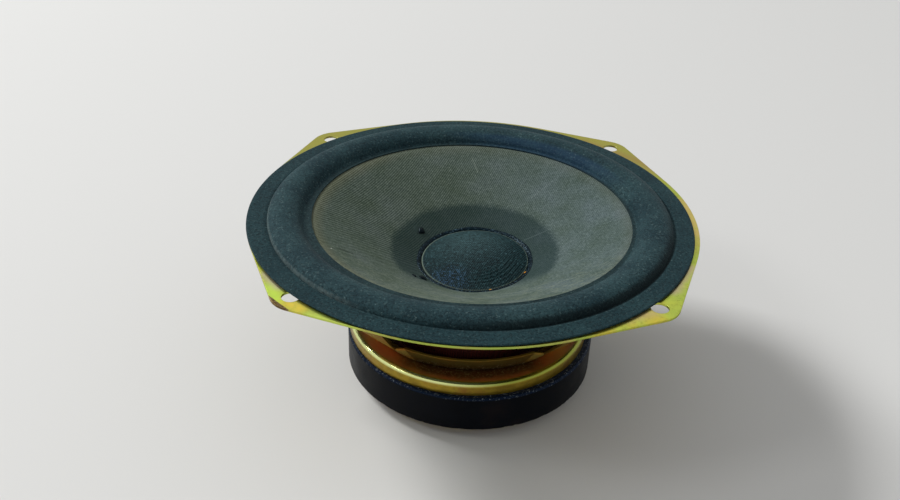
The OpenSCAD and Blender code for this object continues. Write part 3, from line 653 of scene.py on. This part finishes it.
# The weave is dark between its threads, fades to the right and comes and goes in patches
seen = product(tree, mapped(tree, emboss, 0.2, 1.25, 0.42, 0),
               mapped(tree, right, -10 * mm, 50 * mm, 1, 0.35))
patchy = mapped(tree, noise(tree, at, 7 * mm, 3), 0.4, 0.62, 0.4, 1.0)
felt = blended(tree, product(tree, seen, patchy), felt, screen(58, 72, 64))
felt = blended(tree, mapped(tree, grain, 0.5, 0.38, 0, 0.45), felt, screen(46, 60, 52))
felt = blended(tree, mapped(tree, grain, 0.52, 0.68, 0, 0.35), felt, screen(146, 158, 146))
# Yellowed beside the rim at the left, tinted bluer to the right as painted cool light on the lit side,
# and paler in streaks of fibre at the front
ragged = sum_of(tree, "MULTIPLY_ADD", cloud, 4 * mm, out)
tinged = product(tree, mapped(tree, ragged, cone_r - 4 * mm, cone_r + 2 * mm, 0, 0.36),
                 mapped(tree, right, -30 * mm, -55 * mm, 0.4, 1))
felt = blended(tree, tinged, felt, screen(116, 112, 84))
# Painted light: the lit right side is tinted bluer
felt = blended(tree, mapped(tree, right, -30 * mm, 60 * mm), felt, (0.88, 0.93, 1.1, 1), "MULTIPLY")
# Paler streaks along the fibres at the front
fibres = noise(tree, add(tree, "Mapping", {0: at, 3: (0.3, 1, 1)}).outputs[0], 1.6 * mm, 5, 0.7)
front_streaks = product(tree, mapped(tree, fibres, 0.46, 0.66),
                  mapped(tree, front, -15 * mm, -45 * mm, 0, 0.4))
felt = blended(tree, front_streaks, felt, screen(140, 148, 128))
# Lacquer, with a ragged edge, all round the dust cap but in front of it
damp = sum_of(tree, "MULTIPLY_ADD", cloud, 3 * mm, from_axis(tree, at, lacquer_at))
damp = sum_of(tree, "MULTIPLY_ADD", grain, 3 * mm, damp)
lacquer = product(tree, mapped(tree, damp, lacquer_r + 4 * mm, lacquer_r),
                  mapped(tree, front, -27 * mm, -14 * mm))
felt = blended(tree, product(tree, lacquer, 0.68), felt, screen(32, 50, 52))
# Scratches and specks, each from one (x, y) to another, in mm
for start, end, wide, share, tone in (
        ((-58.2, -25.3), (-52.5, -24.4), 0.7, 0.75, screen(36, 42, 40)),
        ((0.5, 66), (3.6, 58.3), 0.35, 0.4, screen(150, 160, 150)),
        ((-61.5, -29.4), (-61.3, -29.4), 0.45, 0.9, screen(225, 230, 220)),
        ((26, 16.7), (40, 17.8), 0.4, 0.17, screen(140, 156, 156)),
        ((44, -20), (52, -17), 0.35, 0.2, screen(158, 168, 160)),
        ((30, 40), (41, 47), 0.35, 0.2, screen(150, 162, 158))):
    felt = blended(tree, product(tree, stroke(tree, at, start, end, wide), share), felt, tone)
tree.links.new(felt, shader.inputs["Base Color"])
rough_face(tree, shader, sum_of(tree, "MULTIPLY_ADD", grain, 1.5, emboss), 0.14 * mm)
cone.data.materials.append(cone_felt)
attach(cone, "moving_cone")
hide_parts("cone")


# Lead joints: where the coil's two ends come through the cone they are soldered to the tinsel
# leads and sealed with a dab of black glue, beside a smear of thinner grey glue.
cone_lean = atan(slope)
joints = ((32.07 * mm, radians(138.3)), (28.21 * mm, radians(218.8)))


def on_cone(r, turn, out, along, up):
    """A place near the cone's upper face, from the point at distance r and angle turn: out along its
    slope, along its round and up off its face."""
    slid = r + out * np.cos(cone_lean) - up * np.sin(cone_lean)
    high = cone_height(r) + out * np.sin(cone_lean) + up * np.cos(cone_lean)
    return np.stack([slid * np.cos(turn) - along * np.sin(turn),
                     slid * np.sin(turn) + along * np.cos(turn), high], -1)


def dab(r, turn, wide, tall, seed, depth=0.0):
    """A drop of glue: a dome of radius wide whose edge wanders by a sum of three cosines, and whose
    height falls as (1 - s^2)^0.6 at the share s of its radius. Below, it is closed by a flat face, or
    by a pin that goes depth into the cone."""
    draw = np.random.default_rng(seed)
    dome, pin = np.linspace(0, 1, 14), 0.45
    s = np.concatenate([dome, [1, pin, pin, 0]])[:, None]
    up = np.concatenate([(1 - dome ** 2) ** 0.6 * tall, [0, 0, -depth, -depth]])[:, None]
    turns = np.linspace(0, 2 * np.pi, 40, endpoint=False)
    phase = draw.uniform(0, 2 * np.pi, 3)
    edge = 1 + sum(0.12 * np.cos((k + 2) * turns + phase[k]) for k in range(3))
    reach = s * wide * edge
    return on_cone(r, turn, reach * np.cos(turns), reach * np.sin(turns), up + 0 * turns + 0.04 * mm)


drops = skin("lead_glue", [
    dab(joints[0][0], joints[0][1], 1.8 * mm, 1.1 * mm, 2, 1.2 * mm),
    dab(joints[1][0], joints[1][1], 1.9 * mm, 1.1 * mm, 3, 1.2 * mm),
    dab(31.9 * mm, radians(216), 1.1 * mm, 0.6 * mm, 6)], ring=False)
drops.data.materials.append(glue_drop)
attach(drops, "moving_cone")
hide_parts("lead_eyelets")

smears = skin("glue_smears", [
    dab(joints[0][0] + 1.3 * mm, joints[0][1] + 0.035, 2.3 * mm, 0.3 * mm, 8),
    dab(joints[1][0] + 1.5 * mm, joints[1][1] - 0.02, 1.9 * mm, 0.3 * mm, 9)], ring=False)
thin_glue, tree, shader = finish("thin_glue", Roughness=0.55, Specular_IOR_Level=0.08)
at = object_place(tree)
skinned = noise(tree, at, 1.2 * mm, 5, 0.65)
grey = blended(tree, skinned, screen(34, 48, 48), screen(60, 74, 70))
tree.links.new(grey, shader.inputs["Base Color"])
rough_face(tree, shader, skinned, 0.12 * mm)
smears.data.materials.append(thin_glue)
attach(smears, "moving_cone")


# Tinsel leads: two braids of copper foil over cotton, from the tags in to the cone, each hanging
# in a slack bow so that the cone can move.
lead_r, board_x, tag_y, tag_high = 0.8 * mm, -87.1 * mm, 10.5 * mm, 63 * mm
sag, shank = 11.5 * mm, 1.2 * mm
# The bow's points, each a share of the way in and a share of the sag
bow = np.array([(0.13, 0.04), (0.24, 0.22), (0.38, 0.56), (0.54, 0.87), (0.69, 1), (0.815, 0.96)])


def smooth_line(points, steps):
    """A curve through points: on each stretch the cubic whose slope at a point is half the way from the
    point before to the point after."""
    points, last = np.array(points), len(points) - 1
    a, b, c, d = (points[np.clip(np.arange(last) + k, 0, last), None] for k in (-1, 0, 1, 2))
    t = np.linspace(0, 1, steps, endpoint=False)[None, :, None]
    curve = 0.5 * (2 * b + (c - a) * t + (2 * a - 5 * b + 4 * c - d) * t ** 2
                   + (3 * b - a - 3 * c + d) * t ** 3)
    return np.vstack([curve.reshape(-1, 3), points[-1:]])


def braid(path, radius, round_points, strands, pitch):
    """A tube round a path, closed at its ends: its radius swells where a strand of the braid lies,
    after the larger of two waves that wind round it left and right once for each pitch."""
    step = np.gradient(path, axis=0)
    step /= np.linalg.norm(step, axis=1)[:, None]
    across = np.cross([0, 0, 1], step)
    across /= np.linalg.norm(across, axis=1)[:, None]
    up = np.cross(step, across)
    length = np.concatenate([[0], np.cumsum(np.linalg.norm(np.diff(path, axis=0), axis=1))])[:, None]
    turns = np.linspace(0, 2 * np.pi, round_points, endpoint=False)
    wind = 2 * np.pi * length / pitch
    swell = np.maximum(np.cos(strands * turns + wind), np.cos(strands * turns - wind))
    reach = (radius * (0.94 + 0.06 * swell))[..., None]
    around = across[:, None] * np.cos(turns)[:, None] + up[:, None] * np.sin(turns)[:, None]
    tube = path[:, None] + reach * around
    ends = [np.broadcast_to(path[k], (1, round_points, 3)) for k in (0, -1)]
    return np.concatenate([ends[0], tube, ends[1]])


tinsel, tree, shader = finish("tinsel_braid", Metallic=0.8, Roughness=0.42)
at = object_place(tree)
thread = noise(tree, at, 0.5 * mm, 4, 0.7)
copper = blended(tree, mapped(tree, thread, 0.35, 0.65), screen(120, 74, 44), screen(206, 158, 110))
tree.links.new(copper, shader.inputs["Base Color"])
rough_face(tree, shader, thread, 0.06 * mm)
for word, side, (r, turn) in (("positive", 1, joints[0]), ("negative", -1, joints[1])):
    start = np.array([board_x, side * tag_y, tag_high])
    outward = np.array([np.cos(turn), np.sin(turn), 0])
    down = outward * np.sin(cone_lean) - np.array([0, 0, np.cos(cone_lean)])
    end = outward * r + [0, 0, cone_height(r)] + down * shank
    middle = start + (end - start) * [1, 1, 0] * bow[:, :1] - [0, 0, sag] * bow[:, 1:]
    points = np.vstack([start, start + [2 * lead_r, 0, 0], start + [4 * lead_r, 0, 0], middle,
                        end + down * 4 * lead_r, end + down * 2 * lead_r, end])
    tube = braid(smooth_line(points, 24), lead_r, round_points=24, strands=6, pitch=4 * mm)
    lead = skin("tinsel_braid_" + word, [tube], ring=False)
    lead.data.materials.append(tinsel)
    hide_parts("tinsel_lead_" + word)
    held_x, led_x = board_x + 5 * mm, end[0] - 3 * mm
    follow(lead, lambda x, y, z: (x - held_x) / (led_x - held_x))


# Surround: a half roll of fine foam rubber between two flat lips, hot pressed from one sheet.
# The inner lip is glued on the cone's rim and the outer one on the flange, a little off centre.
foam, foam_turns, lip_in, lip_out = 0.6 * mm, 480, 72.7 * mm, 98.6 * mm
roll_mid, roll_half, roll_rise = 83.4 * mm, 7.2 * mm, 4.6 * mm
roll_in, roll_out = roll_mid - roll_half, roll_mid + roll_half
surround_at, lip_at = (-1.3 * mm, -0.7 * mm), (-0.4 * mm, 0.6 * mm)
# The roll is a half ellipse, its feet raised from the cone's rim to the flange
bend = np.linspace(np.pi - 0.35, 0, 60)
roll = np.stack([roll_mid + roll_half * np.cos(bend),
                 (rim_high + flange_high) / 2 + (flange_high - rim_high) / 2 * np.cos(bend)
                 + roll_rise * np.sin(bend)], 1)
inner_foot = eased_path([(lip_in, rim_high), (roll_in - 0.47 * mm, rim_high), roll[0]],
                        1.5 * mm, 9)[:-1]
section = sheet_section(np.vstack([inner_foot, roll, [(lip_out, flange_high)]]), foam)
share = np.clip((section[:, :1] - lip_in) / (roll_in - lip_in), 0, 1)
centre = lip_at + (np.array(surround_at) - lip_at) * share
surround = skin("surround_foam", [turned(section, foam_turns, centre)], ring=True, crisp=60)


def foam_finish(name, dark, light, dust):
    """Fine foam rubber: noise of a millimetre for its cells, larger noise for worn places, and pale
    fluff caught in it where a fine noise peaks. dust, from 0 to 1, says how much."""
    new, tree, shader = finish(name, Roughness=0.75, Specular_IOR_Level=0.08, Sheen_Weight=0.03,
                               Sheen_Roughness=0.4)
    at = object_place(tree)
    cells = noise(tree, at, 0.95 * mm, 5, 0.8)
    worn = noise(tree, at, 20 * mm, 5, 0.65)
    colour = blended(tree, mapped(tree, worn, 0.3, 0.7), dark, light)
    colour = blended(tree, mapped(tree, cells, 0.38, 0.56, 0.7, 0), colour, screen(14, 24, 28))
    fluff = mapped(tree, noise(tree, at, 1.2 * mm, 5, 0.8), 0.54, 0.72, 0, dust)
    colour = blended(tree, fluff, colour, screen(120, 146, 146))
    tree.links.new(colour, shader.inputs["Base Color"])
    rough_face(tree, shader, cells, 0.18 * mm)
    return new, tree, shader, at, colour


roll_foam, tree, shader, at, colour = foam_finish(
    "surround_foam", screen(34, 54, 60), screen(51, 74, 78), dust=0.5)
off = from_axis(tree, at, surround_at)
right, front, _ = xyz(tree, at)
# A pale line at the roll's outer foot on the left, toward the lamp: dust and a painted highlight
foot_dust_and_highlight = product(tree, mapped(tree, off, roll_out - 0.5 * mm, roll_out + 0.1 * mm),
                 mapped(tree, right, -40 * mm, -60 * mm))
foot_dust_and_highlight = product(tree, foot_dust_and_highlight, mapped(tree, noise(tree, at, 2 * mm, 6, 0.7), 0.35, 0.6, 0.05, 0.32))
colour = blended(tree, foot_dust_and_highlight, colour, screen(120, 134, 132))
# The groove beside the outer foot is dark on the side away from the lamp
from_lamp = sum_of(tree, "MULTIPLY_ADD", right, 0.6, product(tree, front, -0.8))
groove = product(tree, mapped(tree, off, roll_out - 2.8 * mm, roll_out - 0.2 * mm),
                 mapped(tree, from_lamp, 55 * mm, 85 * mm, 0, 0.7))
colour = blended(tree, groove, colour, screen(10, 16, 18))
# A painted blue sheen, a painted highlight, on the roll's inner side at the back right, and painted
# shade at the inner lip
behind = sum_of(tree, "MULTIPLY_ADD", right, 0.6, front)
painted_blue_sheen = product(tree, mapped(tree, off, roll_mid - 2.4 * mm, roll_mid - 5.4 * mm),
                mapped(tree, behind, 66 * mm, 88 * mm, 0, 0.35))
colour = blended(tree, painted_blue_sheen, colour, screen(34, 60, 92))
# Painted shade on the inner lip, where the roll shades it from the lamp
lip_shade = mapped(tree, off, roll_in - 0.8 * mm, roll_in - 2 * mm, 0, 0.4)
tree.links.new(blended(tree, lip_shade, colour, screen(30, 40, 38)), shader.inputs["Base Color"])
surround.data.materials.append(roll_foam)
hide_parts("surround")
follow(surround, lambda x, y, z: (roll_out + foam - np.hypot(x - surround_at[0], y - surround_at[1]))
       / (roll_out - roll_in + 2 * foam))


# Front gasket: a ring of the same foam, glued over the surround's outer lip to seal the baffle.
# Its edge was cut off centre and half covers the screw holes.
gasket_low, gasket_high, gasket_in, gasket_out = 84.6 * mm, 85.2 * mm, 91.6 * mm, 99.8 * mm
gasket_at, bore_at = (-1.2 * mm, -1.7 * mm), (-0.8 * mm, -1.1 * mm)
# Its section, as shares of the way from the inner edge to the outer one. The inner edge is pressed
# thinner, by a bell curve.
pressed, pressed_wide = 0.3 * mm, 0.7 * mm
flat = np.linspace(0, 1, 20) ** 1.6
thinned = pressed * np.exp(-(flat * (gasket_out - gasket_in) / pressed_wide) ** 2)
share = np.vstack([
    np.stack([flat, 0 * flat + gasket_low], 1),
    [(1.03, gasket_low + 0.2 * mm), (1.02, gasket_high - 0.2 * mm)],
    np.stack([flat, gasket_high - thinned], 1)[::-1],
    [(-0.01, gasket_low + 0.15 * mm)]])
inner = turned(np.stack([0 * share[:, 0] + gasket_in, share[:, 1]], 1), foam_turns, bore_at)
outer = turned(np.stack([0 * share[:, 0] + gasket_out, share[:, 1]], 1), foam_turns, gasket_at)
gasket = skin("gasket_foam", [inner + (outer - inner) * share[:, :1, None]], ring=True, crisp=80)
band_foam, _, _, _, _ = foam_finish("gasket_foam", screen(32, 53, 58), screen(41, 64, 68), dust=0.4)
gasket.data.materials.append(band_foam)
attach(gasket, "frame")
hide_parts("front_gasket")


# Dust cap: a dome of dark impregnated cloth, pressed with an upright edge and glued on the cone
# a little off centre, so that it leans. It has drawn into creases beside its front edge.
cap_r, cap_shift, cap_turn = 25 * mm, 2.8 * mm, radians(43.5)
cap_rise, cap_edge, cap_cloth_t, cap_seat = 5.5 * mm, 0.6 * mm, 0.5 * mm, 0.1 * mm
cap_rows, under_rows, inside = 120, 30, 1 - cap_cloth_t / cap_r
fold_turn, fold_spread, fold_r, fold_wide = radians(-58), 0.85, 0.74, 0.18
fold_deep, fold_beat = 0.2 * mm, 88
cap_lean = asin(cap_shift * slope / cap_r)
cap_at = (cap_shift * np.cos(cap_turn), cap_shift * np.sin(cap_turn))


def on_cap(x, y, z):
    """A place given from the cap's seat: leant up about Y, moved off the axis and turned about it."""
    out = cap_shift + x * np.cos(cap_lean) - z * np.sin(cap_lean)
    high = cone_height(cap_r) + cap_seat + x * np.sin(cap_lean) + z * np.cos(cap_lean)
    return np.stack([out * np.cos(cap_turn) - y * np.sin(cap_turn),
                     out * np.sin(cap_turn) + y * np.cos(cap_turn), high], -1)


# A slice of a ball down to an upright edge, and the same inside it. The creases are waves along
# the radius, which fade by a bell curve in angle and in radius from the middle of their patch.
turns = np.linspace(0, 2 * np.pi, 240, endpoint=False)
reach = np.concatenate([np.linspace(0, 1, cap_rows), [1, inside],
                        np.linspace(1, 0, under_rows) * inside])
dome = cap_rise - cap_edge
ball = (cap_r ** 2 + dome ** 2) / (2 * dome)
arch = cap_rise - ball + np.sqrt(ball ** 2 - (reach * cap_r) ** 2)
arch[cap_rows:cap_rows + 2] = 0
arch[cap_rows + 2:] -= cap_cloth_t
x, y = (reach * cap_r)[:, None] * np.cos(turns), (reach * cap_r)[:, None] * np.sin(turns)
z = arch[:, None] + 0 * turns
aside = (turns + cap_turn - fold_turn + np.pi) % (2 * np.pi) - np.pi
folds = np.exp(-(aside / fold_spread) ** 2) * np.exp(-((reach[:, None] - fold_r) / fold_wide) ** 2)
folds = folds * fold_deep * np.sin(reach[:, None] * fold_beat + 2 * np.sin(3 * aside))
folds[cap_rows - 1:] = 0
cap = skin("dust_cap_cloth", [on_cap(x, y, z + folds)], ring=False, crisp=60)

cap_weave, tree, shader = finish("cap_weave", Roughness=0.5, Specular_IOR_Level=0.08)
at = object_place(tree)
warp, weft = threads_at(tree, at, 0.9 * mm, radians(62)), threads_at(tree, at, 0.9 * mm, radians(-28))
threads = sum_of(tree, "MULTIPLY_ADD", weft, 0.8, warp)
cloud = noise(tree, at, 9 * mm, 4, 0.6)
fuzz = noise(tree, at, 1.0 * mm, 4, 0.8)
teal = blended(tree, mapped(tree, cloud, 0.35, 0.65), screen(15, 39, 41), screen(27, 52, 54))
right, front, _ = xyz(tree, at)
lit = sum_of(tree, "MULTIPLY_ADD", right, -0.35, front)
# Paler on the far side of the crown, painted light where it faces the lamp, with the weave and a fuzz
# of fibres over that
crown_light = mapped(tree, from_axis(tree, at, (0, 15 * mm)), 28 * mm, 4 * mm, 0, 0.7)
teal = blended(tree, crown_light, teal, screen(69, 93, 95))
teal = blended(tree, mapped(tree, threads, 0.3, 1.4, 0.6, 0), teal, screen(16, 30, 36))
teal = blended(tree, mapped(tree, fuzz, 0.5, 0.4, 0, 0.75), teal, screen(8, 18, 22))
teal = blended(tree, mapped(tree, fuzz, 0.54, 0.68, 0, 0.5), teal, screen(92, 128, 136))
# Blue glints painted at the front left of the dome, a painted highlight
blue_glints = product(tree, mapped(tree, fuzz, 0.51, 0.6),
               mapped(tree, from_axis(tree, at, (-11 * mm, -17 * mm)), 13 * mm, 4 * mm, 0, 0.5))
teal = blended(tree, blue_glints, teal, screen(60, 92, 132))
# The pressed edge has a pale painted highlight, stronger on the lit side, and one dark spot lies near
# it
out = from_axis(tree, at, cap_at)
rim_highlight = product(tree, mapped(tree, out, cap_r - 0.7 * mm, cap_r - 0.1 * mm),
                   mapped(tree, lit, -24 * mm, 20 * mm, 0.25, 0.8))
teal = blended(tree, rim_highlight, teal, screen(122, 136, 122))
spot = mapped(tree, from_axis(tree, at, (-6.3 * mm, 19.6 * mm)), 1.1 * mm, 0.3 * mm, 0, 0.7)
teal = blended(tree, spot, teal, screen(16, 24, 28))
tree.links.new(teal, shader.inputs["Base Color"])
rough_face(tree, shader, sum_of(tree, "MULTIPLY_ADD", fuzz, 1.2, threads), 0.12 * mm)
cap.data.materials.append(cap_weave)
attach(cap, "moving_cone")
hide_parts("dust_cap")


# Cap glue: a bead of black glue run round the cap's edge by hand, so its width and height wander.
# Two drops of amber flux from the coil's ends stick in it at the front.
bead_w, bead_high, bead_turns, bead_rows = 2.2 * mm, 0.6 * mm, 480, 12
flux_at, flux_wide, flux_high = ((24.8 * mm, -9.2 * mm), (8.6 * mm, -23 * mm)), 0.6 * mm, 0.4 * mm
# Width and height follow a sum of 15 waves round the bead. At the share s of the width, the
# bead is as high as (4 s (1 - s))^0.6, and each flux drop adds a bell curve.
draw = np.random.default_rng(11)
turns = np.linspace(0, 2 * np.pi, bead_turns, endpoint=False)
wander = sum(draw.uniform(0.2, 1) * np.cos(k * turns + draw.uniform(0, 2 * np.pi)) / k ** 0.5
             for k in range(1, 16))
wander = wander / np.abs(wander).max()
across = np.linspace(0, 1, bead_rows)[:, None]
width = bead_w * (1 + 0.12 * wander)
hump = bead_high * (1 + 0.25 * np.roll(wander, 90)) * (4 * across * (1 - across)) ** 0.6
over = np.concatenate([across, across[::-1][1:-1]])
lift = np.concatenate([hump, 0 * hump[1:-1]])
rim = cap_r + 0.03 * mm + over * width
x, y = cap_at[0] + rim * np.cos(turns), cap_at[1] + rim * np.sin(turns)
drops = sum(np.exp(-((x - a) ** 2 + (y - b) ** 2) / flux_wide ** 2) for a, b in flux_at)
z = cone_height(np.hypot(x, y)) + lift + drops * flux_high * (lift > 0)
bead = skin("cap_glue_bead", [np.stack([x, y, z], -1)], ring=True, crisp=80)
wet_glue, tree, shader = finish("cap_glue", Roughness=0.16, Specular_IOR_Level=0.07,
                                Specular_Tint=(0.5, 0.85, 1, 1))
at = object_place(tree)
runny = noise(tree, at, 1.2 * mm, 5, 0.7)
black = blended(tree, mapped(tree, runny, 0.3, 0.7), screen(5, 12, 18), screen(22, 36, 44))
glints = mapped(tree, noise(tree, at, 0.9 * mm, 4, 0.8), 0.56, 0.64, 0, 0.6)
black = blended(tree, glints, black, screen(96, 124, 140))
for place in flux_at:
    amber = mapped(tree, from_axis(tree, at, place), 0.8 * mm, 0.5 * mm)
    black = blended(tree, amber, black, screen(214, 146, 56))
tree.links.new(black, shader.inputs["Base Color"])
rough_face(tree, shader, runny, 0.25 * mm)
bead.data.materials.append(wet_glue)
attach(bead, "moving_cone")
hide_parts("cap_glue")
